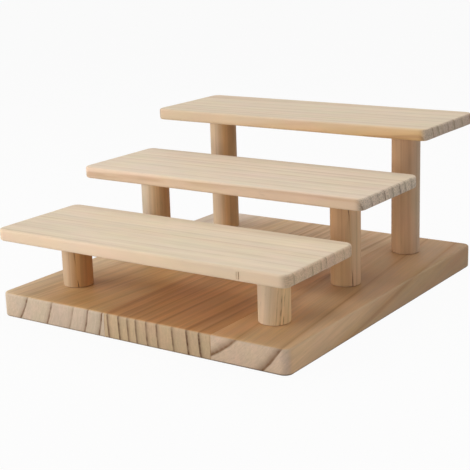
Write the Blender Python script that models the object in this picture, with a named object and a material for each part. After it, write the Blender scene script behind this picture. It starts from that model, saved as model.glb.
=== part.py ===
"""Tiered eyewear display stand in pine.

Three long shelves step up from front to rear. Each rests on two round posts, and the posts stand on one
thick base board. The front faces -Y, the shelves run along X, and the origin is the middle of the underside.
"""
import math

import bmesh
import bpy

# Shelf boards, in metres: the base is as wide as a shelf is long and as deep as the three in a row
SHELF_LENGTH = 0.300
SHELF_DEPTH = 0.105
SHELF_THICKNESS = 0.011
SHELF_CORNER_RADIUS = 0.0075
SHELF_EDGE_RADIUS = 0.0022
PLAN_GAP = 0.0125

# Base board, glued up from three staves that run front to back
BASE_THICKNESS = 0.022
BASE_CORNER_RADIUS = 0.0075
BASE_EDGE_RADIUS = 0.002
MIDDLE_STAVE_WIDTH = 0.109
MIDDLE_STAVE_SHIFT = 0.0235

# Round posts, two under each shelf, set in from the shelf's ends
POST_DIAMETER = 0.027
POST_INSET = 0.045
POST_EASE = 0.0008
FRONT_POST_LENGTH = 0.047
MIDDLE_POST_LENGTH = 0.0805
REAR_POST_LENGTH = 0.1185

# Fluted dowel pins between post and shelf, with a skin of wood left above each blind socket
PIN_DIAMETER = 0.008
PIN_LENGTH = 0.020
PIN_FLUTES = 12
PIN_FLUTE_DEPTH = 0.0004
PIN_CHAMFER = 0.0008
SOCKET_SKIN = 0.0032

# Countersunk wood screws, driven up through the base into the posts
SCREW_LENGTH = 0.040
SCREW_HEAD_DIAMETER = 0.008
SCREW_HEAD_RIM = 0.0004
SCREW_SHANK_DIAMETER = 0.003
SCREW_THREAD_DIAMETER = 0.004
SCREW_PITCH = 0.002
SCREW_THREAD_LENGTH = 0.026
SCREW_POINT_LENGTH = 0.005
SCREW_SINK = 0.0006
RECESS_REACH = 0.0022
RECESS_WIDTH = 0.0010
RECESS_DEPTH = 0.0016
RECESS_TAPER = 0.6

# Clearances: along a glue line, under a seated end, and round anything in a hole
GLUE_LINE = 0.0003
SEAT_GAP = 0.0003
HOLE_CLEARANCE = 0.0003
CUT_OVERRUN = 0.001

# Facets and tolerances
CORNER_STEPS = 6
EDGE_STEPS = 3
POST_SIDES = 40
POST_EASE_STEPS = 2
BORE_SIDES = 24
SCREW_SIDES = 8
RINGS_PER_TURN = 3
DRILL_POINT_SLOPE = math.tan(math.radians(31))
SMOOTH_ANGLE = math.radians(40)
MERGE_DISTANCE = 0.00001

# Places that follow from the sizes above
BASE_WIDTH = SHELF_LENGTH
BASE_DEPTH = 3 * SHELF_DEPTH + 2 * PLAN_GAP
TIER_STEP = SHELF_DEPTH + PLAN_GAP
POST_X = SHELF_LENGTH / 2 - POST_INSET
POST_FOOT = BASE_THICKNESS + SEAT_GAP
PIN_IN_SHELF = SHELF_THICKNESS - SOCKET_SKIN - HOLE_CLEARANCE
PIN_IN_POST = PIN_LENGTH - PIN_IN_SHELF
PIN_BORE_RADIUS = PIN_DIAMETER / 2 + HOLE_CLEARANCE
SCREW_BORE_RADIUS = SCREW_THREAD_DIAMETER / 2 + HOLE_CLEARANCE
HEAD_BORE_RADIUS = SCREW_HEAD_DIAMETER / 2 + HOLE_CLEARANCE

TIERS = (
    ("front", -TIER_STEP, FRONT_POST_LENGTH),
    ("middle", 0.0, MIDDLE_POST_LENGTH),
    ("rear", TIER_STEP, REAR_POST_LENGTH),
)
SIDES = (("left", -POST_X), ("right", POST_X))


def linear(hex_colour):
    """Turns an sRGB hex colour into the linear values that a shader takes."""
    channels = [int(hex_colour[i:i + 2], 16) / 255 for i in (1, 3, 5)]
    return [c / 12.92 if c <= 0.04045 else ((c + 0.055) / 1.055) ** 2.4 for c in channels] + [1.0]


def material(name, hex_colour, roughness, metallic=0.0):
    finish = bpy.data.materials.new(name)
    finish.use_nodes = True
    shader = finish.node_tree.nodes["Principled BSDF"]
    shader.inputs["Base Color"].default_value = linear(hex_colour)
    shader.inputs["Roughness"].default_value = roughness
    shader.inputs["Metallic"].default_value = metallic
    return finish


def mesh_from(name, bm):
    """Closes a bmesh off as a mesh with outward faces, smooth wherever it is round."""
    bmesh.ops.recalc_face_normals(bm, faces=bm.faces)
    mesh = bpy.data.meshes.new(name)
    bm.to_mesh(mesh)
    bm.free()
    mesh.shade_smooth()
    mesh.set_sharp_from_angle(angle=SMOOTH_ANGLE)
    return mesh


def place(name, mesh, location, finish, parent):
    """Adds one piece of the stand, with its finish in a slot of its own."""
    piece = bpy.data.objects.new(name, mesh)
    bpy.context.scene.collection.objects.link(piece)
    piece.location = location
    piece.parent = parent
    if not mesh.materials:
        mesh.materials.append(finish)
    return piece


def place_cutter(name, mesh, location, parent):
    """Adds a shape that only cuts others and is never part of the stand."""
    cutter = bpy.data.objects.new(name, mesh)
    bpy.context.scene.collection.objects.link(cutter)
    cutter.location = location
    cutter.parent = parent
    cutter.hide_render = True
    cutter.display_type = "WIRE"
    return cutter


def cut(piece, cutter):
    boolean = piece.modifiers.new(cutter.name, "BOOLEAN")
    boolean.operation = "DIFFERENCE"
    boolean.solver = "EXACT"
    boolean.object = cutter


def extruded(outline, bottom, top):
    """Returns a bmesh prism standing on a plan outline of (x, y) points."""
    bm = bmesh.new()
    face = bm.faces.new([bm.verts.new((x, y, bottom)) for x, y in outline])
    grown = bmesh.ops.extrude_face_region(bm, geom=[face])
    lifted = [item for item in grown["geom"] if isinstance(item, bmesh.types.BMVert)]
    bmesh.ops.translate(bm, verts=lifted, vec=(0, 0, top - bottom))
    bmesh.ops.recalc_face_normals(bm, faces=bm.faces)
    return bm


def ease_rims(bm, radius, steps):
    """Rounds the edges between the flat ends of an upright prism and its walls."""
    bm.normal_update()
    ends = {face for face in bm.faces if abs(face.normal.z) > 0.99}
    rims = [edge for edge in bm.edges if len(ends.intersection(edge.link_faces)) == 1]
    bmesh.ops.bevel(bm, geom=rims, offset=radius, offset_type="OFFSET", segments=steps, profile=0.5, affect="EDGES")


def rounded_rectangle(width, depth, radius):
    """Plan outline with an arc at each corner, anticlockwise from +X."""
    outline = []
    for quarter, (side_x, side_y) in enumerate(((1, 1), (-1, 1), (-1, -1), (1, -1))):
        for step in range(CORNER_STEPS + 1):
            angle = math.radians(90) * (quarter + step / CORNER_STEPS)
            x = side_x * (width / 2 - radius) + radius * math.cos(angle)
            y = side_y * (depth / 2 - radius) + radius * math.sin(angle)
            outline.append((x, y))
    return outline


def turned(name, profile):
    """Mesh swept once round Z from (radius, height) points that start and end on the axis."""
    bm = bmesh.new()
    points = [bm.verts.new((radius, 0, height)) for radius, height in profile]
    runs = [bm.edges.new(pair) for pair in zip(points, points[1:])]
    bmesh.ops.spin(bm, geom=points + runs, cent=(0, 0, 0), axis=(0, 0, 1), angle=math.tau, steps=BORE_SIDES)
    bmesh.ops.remove_doubles(bm, verts=bm.verts, dist=MERGE_DISTANCE)
    return mesh_from(name, bm)


def base_stave(name, left, right):
    """One stave of the base: the rounded panel, sawn off at the glue lines on either side of it."""
    bm = extruded(rounded_rectangle(BASE_WIDTH, BASE_DEPTH, BASE_CORNER_RADIUS), 0, BASE_THICKNESS)
    ease_rims(bm, BASE_EDGE_RADIUS, EDGE_STEPS)
    for x, outward in ((left, -1), (right, 1)):
        if abs(x) >= BASE_WIDTH / 2:
            continue
        sawn = bmesh.ops.bisect_plane(
            bm,
            geom=bm.verts[:] + bm.edges[:] + bm.faces[:],
            plane_co=(x - outward * GLUE_LINE / 2, 0, 0),
            plane_no=(outward, 0, 0),
            clear_outer=True,
        )
        rim = [item for item in sawn["geom_cut"] if isinstance(item, bmesh.types.BMEdge)]
        bmesh.ops.holes_fill(bm, edges=rim)
    return mesh_from(name, bm)


def shelf_board(name):
    bm = extruded(rounded_rectangle(SHELF_LENGTH, SHELF_DEPTH, SHELF_CORNER_RADIUS), 0, SHELF_THICKNESS)
    ease_rims(bm, SHELF_EDGE_RADIUS, EDGE_STEPS)
    return mesh_from(name, bm)


def round_post(name, length):
    bm = bmesh.new()
    radius = POST_DIAMETER / 2
    bmesh.ops.create_cone(bm, cap_ends=True, segments=POST_SIDES, radius1=radius, radius2=radius, depth=length)
    bmesh.ops.translate(bm, verts=bm.verts, vec=(0, 0, length / 2))
    ease_rims(bm, POST_EASE, POST_EASE_STEPS)
    return mesh_from(name, bm)


def fluted_pin():
    """Dowel pin about its joint plane: ridges at full diameter, flutes between them, chamfered ends."""
    outline = []
    for point in range(2 * PIN_FLUTES):
        radius = PIN_DIAMETER / 2 - (PIN_FLUTE_DEPTH if point % 2 else 0)
        angle = math.tau * point / (2 * PIN_FLUTES)
        outline.append((radius * math.cos(angle), radius * math.sin(angle)))
    bm = extruded(outline, -PIN_IN_POST, PIN_IN_SHELF)
    ease_rims(bm, PIN_CHAMFER, 1)
    return mesh_from("fluted_pin", bm)


def pin_bore():
    """Room for a dowel pin: flat-bottomed in the shelf, ending in a drill point in the post."""
    bottom = -PIN_IN_POST - HOLE_CLEARANCE
    top = PIN_IN_SHELF + HOLE_CLEARANCE
    point = bottom - PIN_BORE_RADIUS * DRILL_POINT_SLOPE
    return turned("pin_bore", ((0, top), (PIN_BORE_RADIUS, top), (PIN_BORE_RADIUS, bottom), (0, point)))


def wood_screw():
    """Screw from its head's flat face at z = 0 up to its point, with the thread as a helical ridge."""
    head_radius = SCREW_HEAD_DIAMETER / 2
    shank_radius = SCREW_SHANK_DIAMETER / 2
    ridge = (SCREW_THREAD_DIAMETER - SCREW_SHANK_DIAMETER) / 2
    thread_start = SCREW_LENGTH - SCREW_THREAD_LENGTH
    levels = [
        (0, head_radius, 0),
        (SCREW_HEAD_RIM, head_radius, 0),
        (SCREW_HEAD_RIM + head_radius - shank_radius, shank_radius, 0),
        (thread_start, shank_radius, 0),
    ]
    for level in range(1, round(SCREW_THREAD_LENGTH / SCREW_PITCH * RINGS_PER_TURN)):
        height = thread_start + level * SCREW_PITCH / RINGS_PER_TURN
        taper = min(1, (SCREW_LENGTH - height) / SCREW_POINT_LENGTH)
        run_in = min(1, level / RINGS_PER_TURN)
        levels.append((height, shank_radius * taper, ridge * taper * run_in))

    bm = bmesh.new()
    rings = []
    for height, core, crest in levels:
        ring = []
        for side in range(SCREW_SIDES):
            turn = side / SCREW_SIDES
            phase = (height / SCREW_PITCH - turn) % 1
            radius = core + crest * max(0, 1 - 4 * abs(phase - 0.5))
            ring.append(bm.verts.new((radius * math.cos(math.tau * turn), radius * math.sin(math.tau * turn), height)))
        rings.append(ring)
    bm.faces.new(rings[0])
    for lower, upper in zip(rings, rings[1:]):
        for side in range(SCREW_SIDES):
            after = (side + 1) % SCREW_SIDES
            bm.faces.new((lower[side], lower[after], upper[after], upper[side]))
    point = bm.verts.new((0, 0, SCREW_LENGTH))
    for side in range(SCREW_SIDES):
        bm.faces.new((rings[-1][side], rings[-1][(side + 1) % SCREW_SIDES], point))
    return mesh_from("wood_screw", bm)


def cross_recess():
    """Tapered cross cut into a screw head from below."""
    half = RECESS_WIDTH / 2
    outline = []
    for quarter in range(4):
        cosine = round(math.cos(math.radians(90 * quarter)))
        sine = round(math.sin(math.radians(90 * quarter)))
        for x, y in ((half, -half), (RECESS_REACH, -half), (RECESS_REACH, half)):
            outline.append((x * cosine - y * sine, x * sine + y * cosine))
    bm = extruded(outline, -CUT_OVERRUN, RECESS_DEPTH)
    deep = [vert for vert in bm.verts if vert.co.z > 0]
    bmesh.ops.scale(bm, verts=deep, vec=(RECESS_TAPER, RECESS_TAPER, 1))
    return mesh_from("cross_recess", bm)


def screw_bore():
    """Countersink and bore for a screw, from below the base up into the post."""
    rim = SCREW_SINK + SCREW_HEAD_RIM
    cone_shift = HOLE_CLEARANCE * math.sqrt(2)
    cone_foot = rim - HOLE_CLEARANCE + cone_shift
    cone_top = cone_foot + HEAD_BORE_RADIUS - SCREW_BORE_RADIUS
    top = SCREW_SINK + SCREW_LENGTH + HOLE_CLEARANCE
    profile = (
        (0, top + SCREW_BORE_RADIUS * DRILL_POINT_SLOPE),
        (SCREW_BORE_RADIUS, top),
        (SCREW_BORE_RADIUS, cone_top),
        (HEAD_BORE_RADIUS, cone_foot),
        (HEAD_BORE_RADIUS, -CUT_OVERRUN),
        (0, -CUT_OVERRUN),
    )
    return turned("screw_bore", profile)


def build_stand():
    pine_base = material("pine_base", "#B98A5C", 0.6)
    pine_shelf = material("pine_shelf", "#DCC3A0", 0.55)
    pine_post = material("pine_post", "#B88A5E", 0.6)
    beech = material("beech_pin", "#C9A277", 0.65)
    zinc = material("zinc_plated_steel", "#B9BDC2", 0.35, metallic=1.0)

    stand = bpy.data.objects.new("display_stand", None)
    bpy.context.scene.collection.objects.link(stand)

    left_glue_line = MIDDLE_STAVE_SHIFT - MIDDLE_STAVE_WIDTH / 2
    right_glue_line = MIDDLE_STAVE_SHIFT + MIDDLE_STAVE_WIDTH / 2
    staves = []
    for side, left, right in (
        ("left", -BASE_WIDTH / 2, left_glue_line),
        ("middle", left_glue_line, right_glue_line),
        ("right", right_glue_line, BASE_WIDTH / 2),
    ):
        name = f"base_{side}_stave"
        stave = place(name, base_stave(name, left, right), (0, 0, 0), pine_base, stand)
        staves.append((stave, left - HEAD_BORE_RADIUS, right + HEAD_BORE_RADIUS))

    pin_mesh = fluted_pin()
    pin_bore_mesh = pin_bore()
    screw_mesh = wood_screw()
    screw_bore_mesh = screw_bore()
    recess_mesh = cross_recess()
    for tier, y, post_length in TIERS:
        shelf_underside = POST_FOOT + post_length + SEAT_GAP
        shelf_name = f"{tier}_shelf"
        shelf = place(shelf_name, shelf_board(shelf_name), (0, y, shelf_underside), pine_shelf, stand)
        for side, x in SIDES:
            spot = f"{tier}_{side}"
            post = place(f"{spot}_post", round_post(f"{spot}_post", post_length), (x, y, POST_FOOT), pine_post, stand)
            joint = (x, y, shelf_underside)
            place(f"{spot}_dowel_pin", pin_mesh, joint, beech, stand)
            socket = place_cutter(f"{spot}_pin_bore", pin_bore_mesh, joint, stand)
            cut(shelf, socket)
            cut(post, socket)
            head = (x, y, SCREW_SINK)
            screw = place(f"{spot}_base_screw", screw_mesh, head, zinc, stand)
            cut(screw, place_cutter(f"{spot}_recess", recess_mesh, head, stand))
            bore = place_cutter(f"{spot}_screw_bore", screw_bore_mesh, (x, y, 0), stand)
            cut(post, bore)
            for stave, reach_left, reach_right in staves:
                if reach_left < x < reach_right:
                    cut(stave, bore)


for leftover in list(bpy.data.objects):
    bpy.data.objects.remove(leftover)
build_stand()
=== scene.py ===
"""Looks of a three-tier pine display stand: a glued base panel, six turned posts and three eased shelves.
Lengths are in metres, but those inside a log are in millimetres."""

import math
from functools import partial

import bpy
from mathutils import Matrix, Vector


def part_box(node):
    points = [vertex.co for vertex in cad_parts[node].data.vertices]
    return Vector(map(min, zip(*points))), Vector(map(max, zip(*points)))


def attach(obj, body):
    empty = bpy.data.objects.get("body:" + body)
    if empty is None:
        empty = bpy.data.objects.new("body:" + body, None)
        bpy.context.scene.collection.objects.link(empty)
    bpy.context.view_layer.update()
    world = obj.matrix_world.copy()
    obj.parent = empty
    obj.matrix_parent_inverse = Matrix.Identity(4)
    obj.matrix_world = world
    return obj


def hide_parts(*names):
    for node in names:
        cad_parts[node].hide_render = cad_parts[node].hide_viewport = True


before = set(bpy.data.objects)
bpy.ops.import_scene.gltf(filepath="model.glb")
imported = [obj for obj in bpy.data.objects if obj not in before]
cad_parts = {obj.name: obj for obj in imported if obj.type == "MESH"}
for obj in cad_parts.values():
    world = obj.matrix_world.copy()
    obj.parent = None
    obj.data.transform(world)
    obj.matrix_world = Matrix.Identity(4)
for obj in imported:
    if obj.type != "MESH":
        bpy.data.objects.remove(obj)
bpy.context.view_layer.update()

# The view: a long lens a metre away, to the right of the stand's front and a little above its rear
# shelf, with the slight tilt of a camera that wasn't quite level.
CAMERA_PLACE = (0.59834, -0.88159, 0.33816)
CAMERA_BEARING = 34.734
CAMERA_HEIGHT_ANGLE = 14.978
CAMERA_TILT = -1.833
CAMERA_LENS = 90.97
CAMERA_SENSOR = 36.0


def facing(bearing, height_angle, tilt=0.0):
    """Turn of a camera or lamp that stands at a bearing from the stand's front and looks down at it."""
    round_by, up_by = math.radians(bearing), math.radians(height_angle)
    level_part = math.cos(up_by)
    back = Vector((math.sin(round_by) * level_part, -math.cos(round_by) * level_part, math.sin(up_by)))
    right = Vector((math.cos(round_by), math.sin(round_by), 0.0))
    level = Matrix((right, back.cross(right), back)).transposed()
    return level @ Matrix.Rotation(math.radians(tilt), 3, "Z")


scene = bpy.context.scene
camera = bpy.data.objects.new("camera", bpy.data.cameras.new("camera"))
camera.data.lens = CAMERA_LENS
camera.data.sensor_width = CAMERA_SENSOR
turn = facing(CAMERA_BEARING, CAMERA_HEIGHT_ANGLE, CAMERA_TILT)
camera.matrix_world = Matrix.Translation(CAMERA_PLACE) @ turn.to_4x4()
scene.collection.objects.link(camera)
scene.camera = camera
scene.view_settings.view_transform = "Standard"

# The studio: a white table that runs out of sight, a wide soft box overhead, two low ones on the front left
# that reach the posts under the shelves, a weak one on the right, and a little light from the white room.
TABLE_HALF_WIDTH = 4.0
TABLE_DROP = 0.0002
TABLE_PAPER = "#C6C4C1"
PURE_WHITE = "#FFFFFF"
SHADOW_SHARE = 0.05
ROOM_STRENGTH = 0.225
LAMP_AIM = Vector((0.0, 0.0, 0.07))
SOFT_BOXES = {
    "overhead_soft_box": dict(
        bearing=180.0, height=79.0, distance=1.2, size=(1.4, 1.4), power=11.4, colour=PURE_WHITE),
    "left_soft_box": dict(
        bearing=-60.0, height=11.0, distance=1.1, size=(0.5, 0.35), power=3.8, colour=PURE_WHITE),
    "front_left_soft_box": dict(
        bearing=-25.0, height=7.0, distance=1.0, size=(0.6, 0.4), power=4.0, colour=PURE_WHITE),
    "right_soft_box": dict(
        bearing=80.0, height=10.0, distance=0.8, size=(0.4, 0.3), power=1.0, colour="#EAF2FF"),
}
# Map Range takes a value, the two ends of its range, and the two ends of the range that this becomes
MATH, VECTOR_MATH, RANGE = "ShaderNodeMath", "ShaderNodeVectorMath", "ShaderNodeMapRange"


def linear(hex_colour):
    """Turns an sRGB hex value into the linear colour that a shader socket takes."""
    shares = [int(hex_colour[i:i + 2], 16) / 255 for i in (1, 3, 5)]
    return tuple(s / 12.92 if s <= 0.04045 else ((s + 0.055) / 1.055) ** 2.4 for s in shares) + (1.0,)


def add(tree, kind, inputs=(), operation=None, **settings):
    """Adds a node with its settings. Its inputs are a tuple in order, or a dict by name or number. Each
    takes a value, a socket, a node's first output, or a list of these where a socket takes several."""
    node = tree.nodes.new(kind)
    if operation:
        node.operation = operation
    for name, value in settings.items():
        setattr(node, name, value)
    pairs = inputs.items() if isinstance(inputs, dict) else enumerate(inputs)
    for key, value in pairs:
        for item in value if isinstance(value, list) else [value]:
            source = item.outputs[0] if isinstance(item, bpy.types.Node) else item
            if isinstance(source, bpy.types.NodeSocket):
                tree.links.new(source, node.inputs[key])
            else:
                node.inputs[key].default_value = source
    return node


def blank_material(name):
    """A material with an empty node tree, and the function that adds nodes to it."""
    material = bpy.data.materials.new(name)
    material.use_nodes = True
    material.node_tree.nodes.clear()
    return material, partial(add, material.node_tree)


def seen_rays(node):
    """1 for rays that the camera sees, straight, in a gloss or through glass, and 0 for other light."""
    path = node("ShaderNodeLightPath").outputs
    seen = node(MATH, (path["Is Camera Ray"], path["Is Glossy Ray"]), "MAXIMUM")
    return node(MATH, (seen, path["Is Transmission Ray"]), "MAXIMUM")


# White table paper: to the eye it is pure white, with only a little of the shadow that it really takes.
table_paper, node = blank_material("white_table_paper")
whitening = node(MATH, (seen_rays(node), 1.0 - SHADOW_SHARE), "MULTIPLY")
paper = node("ShaderNodeBsdfDiffuse", {"Color": linear(TABLE_PAPER)})
glow = node("ShaderNodeEmission", {"Color": linear(PURE_WHITE), "Strength": 1.0})
mixed = node("ShaderNodeMixShader", (whitening, paper, glow))
node("ShaderNodeOutputMaterial", {"Surface": mixed})

table = bpy.data.objects.new("white_table", bpy.data.meshes.new("white_table"))
corners = [(x * TABLE_HALF_WIDTH, y * TABLE_HALF_WIDTH, -TABLE_DROP)
           for x, y in ((-1, -1), (1, -1), (1, 1), (-1, 1))]
table.data.from_pydata(corners, [], [(0, 1, 2, 3)])
table.data.materials.append(table_paper)
scene.collection.objects.link(table)

room = bpy.data.worlds.new("white_room")
room.use_nodes = True
room.node_tree.nodes.clear()
node = partial(add, room.node_tree)
strength = node(RANGE, (seen_rays(node), 0.0, 1.0, ROOM_STRENGTH, 1.0))
walls = node("ShaderNodeBackground", {"Color": linear(PURE_WHITE), "Strength": strength})
node("ShaderNodeOutputWorld", {"Surface": walls})
scene.world = room

for name, box in SOFT_BOXES.items():
    lamp = bpy.data.objects.new(name, bpy.data.lights.new(name, "AREA"))
    lamp.data.shape = "RECTANGLE"
    lamp.data.size, lamp.data.size_y = box["size"]
    lamp.data.energy = box["power"]
    lamp.data.color = linear(box["colour"])[:3]
    turn = facing(box["bearing"], box["height"])
    place = LAMP_AIM + turn.col[2] * box["distance"]
    lamp.matrix_world = Matrix.Translation(place) @ turn.to_4x4()
    scene.collection.objects.link(lamp)

# The base: three pine staves glued edge to edge into one panel, with its corners rounded and its rims
# eased by hand sanding. The staves run front to back, so the front shows their end grain.
BASE_CORNER_RADIUS = 0.0075
BASE_EDGE_RADIUS = 0.002
BASE_HAND_EASING = 0.14
BASE_SEED = 1.0
EASING_WAVE = 0.045
RIM_POINT_SPACING = 0.0011
RIM_ROUND_STEPS = 6
CORNER_POINTS = 24
GLUE_HAIRLINE = 0.00018
COUNTERSINK_RADIUS = 0.0043
COUNTERSINK_STRAIGHT = 0.0012
SCREW_HOLE_RADIUS = 0.0023
SCREW_HOLE_LENGTH = 0.1
CUTTER_OVERLAP = 0.0001
CUTTER_REACH = 1.0
CUT_OVERRUN = 0.01
ROUND_SIDES = 48
MERGE_DISTANCE = 0.00001
NOISE, MIX, COMBINE_XYZ = "ShaderNodeTexNoise", "ShaderNodeMix", "ShaderNodeCombineXYZ"
TRANSFORM, BOOLEAN = "GeometryNodeTransform", "GeometryNodeMeshBoolean"
CYLINDER = "GeometryNodeMeshCylinder"
FLOAT, WHOLE, VECTOR = "NodeSocketFloat", "NodeSocketInt", "NodeSocketVector"
GEOMETRY, MATERIAL = "NodeSocketGeometry", "NodeSocketMaterial"
BOARD_SIZES = dict.fromkeys(
    ("Length", "Depth", "Thickness", "Corner Radius", "Edge Radius", "Hand Easing", "Seed"), FLOAT)
BOARD_SIZES |= {"Rim Points": WHOLE, "Place": VECTOR}


def shaping_tree(name, inputs):
    """A Geometry Nodes tree with a named input for each size: the tree, those inputs' sockets, and the
    function that adds nodes to it."""
    tree = bpy.data.node_groups.new(name, "GeometryNodeTree")
    tree.interface.new_socket("Geometry", in_out="OUTPUT", socket_type=GEOMETRY)
    for label, kind in inputs.items():
        tree.interface.new_socket(label, in_out="INPUT", socket_type=kind)
    node = partial(add, tree)
    return tree, node("NodeGroupInput").outputs, node


def end_tree(node, geometry, material):
    """Ends a tree with real geometry in its material."""
    real = node("GeometryNodeRealizeInstances", {"Geometry": geometry})
    dressed = node("GeometryNodeSetMaterial", {"Geometry": real, "Material": material})
    node("NodeGroupOutput", {"Geometry": dressed})


def shaped(name, tree, values, points=()):
    """A plain mesh object that a tree makes, from points if it needs them, with its inputs set to values."""
    start = bpy.data.meshes.new(name)
    start.from_pydata(list(points), [], [])
    piece = bpy.data.objects.new(name, start)
    scene.collection.objects.link(piece)
    modifier = piece.modifiers.new(name, "NODES")
    modifier.node_group = tree
    for socket in tree.interface.items_tree:
        if socket.in_out == "INPUT" and socket.socket_type != GEOMETRY:
            modifier[socket.identifier] = values[socket.name]
    graph = bpy.context.evaluated_depsgraph_get()
    made = bpy.data.meshes.new_from_object(
        piece.evaluated_get(graph), preserve_all_data_layers=True, depsgraph=graph)
    piece.modifiers.remove(modifier)
    made.materials.clear()
    made.materials.append(values["Material"])
    piece.data = made
    return piece


def unit_sheet(node, columns, rows):
    """A flat grid to be bent into shape, with each point's share of the way across it, from -0.5 to 0.5, and
    up it, from 0 to 1."""
    sheet = node("GeometryNodeMeshGrid", {
        "Size X": 1.0, "Size Y": 1.0, "Vertices X": columns, "Vertices Y": rows})
    place = node("ShaderNodeSeparateXYZ", (node("GeometryNodeInputPosition"),)).outputs
    return sheet, place["X"], node(MATH, (place["Y"], 0.5), "ADD")


def at_points(node, points, shape, chosen=True):
    """Copies of a shape, as real geometry, at those of the points that are chosen."""
    copies = node("GeometryNodeInstanceOnPoints", {"Points": points, "Selection": chosen, "Instance": shape})
    return node("GeometryNodeRealizeInstances", {"Geometry": copies})


def eased_board_tree():
    """A board with rounded corners, and rims that are eased by a radius that wanders a little."""
    tree, size, node = shaping_tree("eased_board", BOARD_SIZES)
    twice = node(MATH, (size["Edge Radius"], 2.0), "MULTIPLY")
    flat_length = node(MATH, (size["Length"], twice), "SUBTRACT")
    flat_depth = node(MATH, (size["Depth"], twice), "SUBTRACT")
    flat_corner = node(MATH, (size["Corner Radius"], size["Edge Radius"]), "SUBTRACT")
    outline = node("GeometryNodeCurvePrimitiveQuadrilateral", {"Width": flat_length, "Height": flat_depth})
    outline = node("GeometryNodeFilletCurve", {
        "Curve": outline, "Count": CORNER_POINTS, "Radius": flat_corner}, mode="POLY")
    outline = node("GeometryNodeResampleCurve", {
        "Curve": outline, "Count": size["Rim Points"]}, mode="COUNT")

    wave = node(NOISE, {"W": size["Seed"], "Scale": 1.0 / EASING_WAVE, "Detail": 1.0}, noise_dimensions="4D")
    wave = node(MATH, (wave, 2.0, -1.0), "MULTIPLY_ADD")
    wave = node(MATH, (wave, size["Hand Easing"], 1.0), "MULTIPLY_ADD")
    easing = node(MATH, (wave, size["Edge Radius"]), "MULTIPLY")

    rows = 2 * (RIM_ROUND_STEPS + 1)
    columns = node(MATH, (size["Rim Points"], 1.0), "ADD")
    sheet, across, up = unit_sheet(node, columns, rows)
    row = node(MATH, (up, rows - 1.0), "MULTIPLY")
    lower = node(RANGE, (row, 0.0, RIM_ROUND_STEPS, -1.0, 0.0))
    upper = node(RANGE, (row, RIM_ROUND_STEPS + 1.0, rows - 1.0))
    side = node(RANGE, (row, RIM_ROUND_STEPS, RIM_ROUND_STEPS + 1.0))
    quarter = node(MATH, (lower, upper), "ADD")
    angle = node(MATH, (quarter, math.pi / 2), "MULTIPLY")
    sine = node(MATH, (angle,), "SINE")
    cosine = node(MATH, (angle,), "COSINE")

    around = node(MATH, (across, 0.5), "ADD")
    column = node(MATH, (around, size["Rim Points"]), "MULTIPLY")
    column = node(MATH, (column,), "ROUND")
    column = node(MATH, (column, size["Rim Points"]), "MODULO")
    tangent = node("GeometryNodeInputTangent")
    sideways = node(VECTOR_MATH, (tangent, (0.0, 0.0, 1.0)), "CROSS_PRODUCT")
    place = node("GeometryNodeInputPosition")
    radius, outward, edge = [
        node("GeometryNodeSampleIndex", {"Geometry": outline, "Value": field, "Index": column},
             data_type=kind, domain="POINT")
        for field, kind in ((easing, "FLOAT"), (sideways, "FLOAT_VECTOR"), (place, "FLOAT_VECTOR"))]
    spare = node(MATH, (size["Edge Radius"], radius), "SUBTRACT")
    reach = node(MATH, (cosine, radius, spare), "MULTIPLY_ADD")
    outward = node(VECTOR_MATH, {0: outward, "Scale": reach}, "SCALE")
    rise = node(MATH, (sine, radius, radius), "MULTIPLY_ADD")
    straight = node(MATH, (radius, -2.0, size["Thickness"]), "MULTIPLY_ADD")
    rise = node(MATH, (side, straight, rise), "MULTIPLY_ADD")
    rise = node(COMBINE_XYZ, {"Z": rise})
    point = node(VECTOR_MATH, (edge, outward), "ADD")
    point = node(VECTOR_MATH, (point, rise), "ADD")
    tint_mask = node(MATH, (angle, 2.0), "MULTIPLY")
    tint_mask = node(MATH, (tint_mask,), "SINE")
    sheet = node("GeometryNodeStoreNamedAttribute", {"Geometry": sheet, "Name": "eased_edge", "Value": tint_mask},
                 data_type="FLOAT", domain="POINT")
    sheet = node("GeometryNodeSetPosition", {"Geometry": sheet, "Position": point})
    sheet = node("GeometryNodeSetShadeSmooth", {"Geometry": sheet, "Shade Smooth": True})

    spare = node(MATH, (size["Edge Radius"], easing), "SUBTRACT")
    sideways = node(VECTOR_MATH, {0: sideways, "Scale": spare}, "SCALE")
    face = node("GeometryNodeSetPosition", {"Geometry": outline, "Offset": sideways})
    face = node("GeometryNodeFillCurve", {"Curve": face}, mode="NGONS")
    face = node("GeometryNodeSetShadeSmooth", {"Geometry": face, "Shade Smooth": False})
    lift = node(COMBINE_XYZ, {"Z": size["Thickness"]})
    top = node(TRANSFORM, {"Geometry": face, "Translation": lift})
    under = node("GeometryNodeFlipFaces", {"Mesh": face})
    board = node("GeometryNodeJoinGeometry", {"Geometry": [sheet, top, under]})
    board = node("GeometryNodeMergeByDistance", {"Geometry": board, "Distance": MERGE_DISTANCE})
    board = node(TRANSFORM, {"Geometry": board, "Translation": size["Place"]})
    node("NodeGroupOutput", {"Geometry": board})
    return tree


EASED_BOARD = eased_board_tree()


def board_sizes(low, high, corner_radius, edge_radius, easing, seed):
    """The values that make an eased board fill a box."""
    length, depth = high.x - low.x, high.y - low.y
    return {"Length": length, "Depth": depth, "Thickness": high.z - low.z, "Corner Radius": corner_radius,
            "Edge Radius": edge_radius, "Hand Easing": easing, "Seed": seed,
            "Rim Points": round(2 * (length + depth) / RIM_POINT_SPACING),
            "Place": ((low.x + high.x) / 2, (low.y + high.y) / 2, low.z)}


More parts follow.
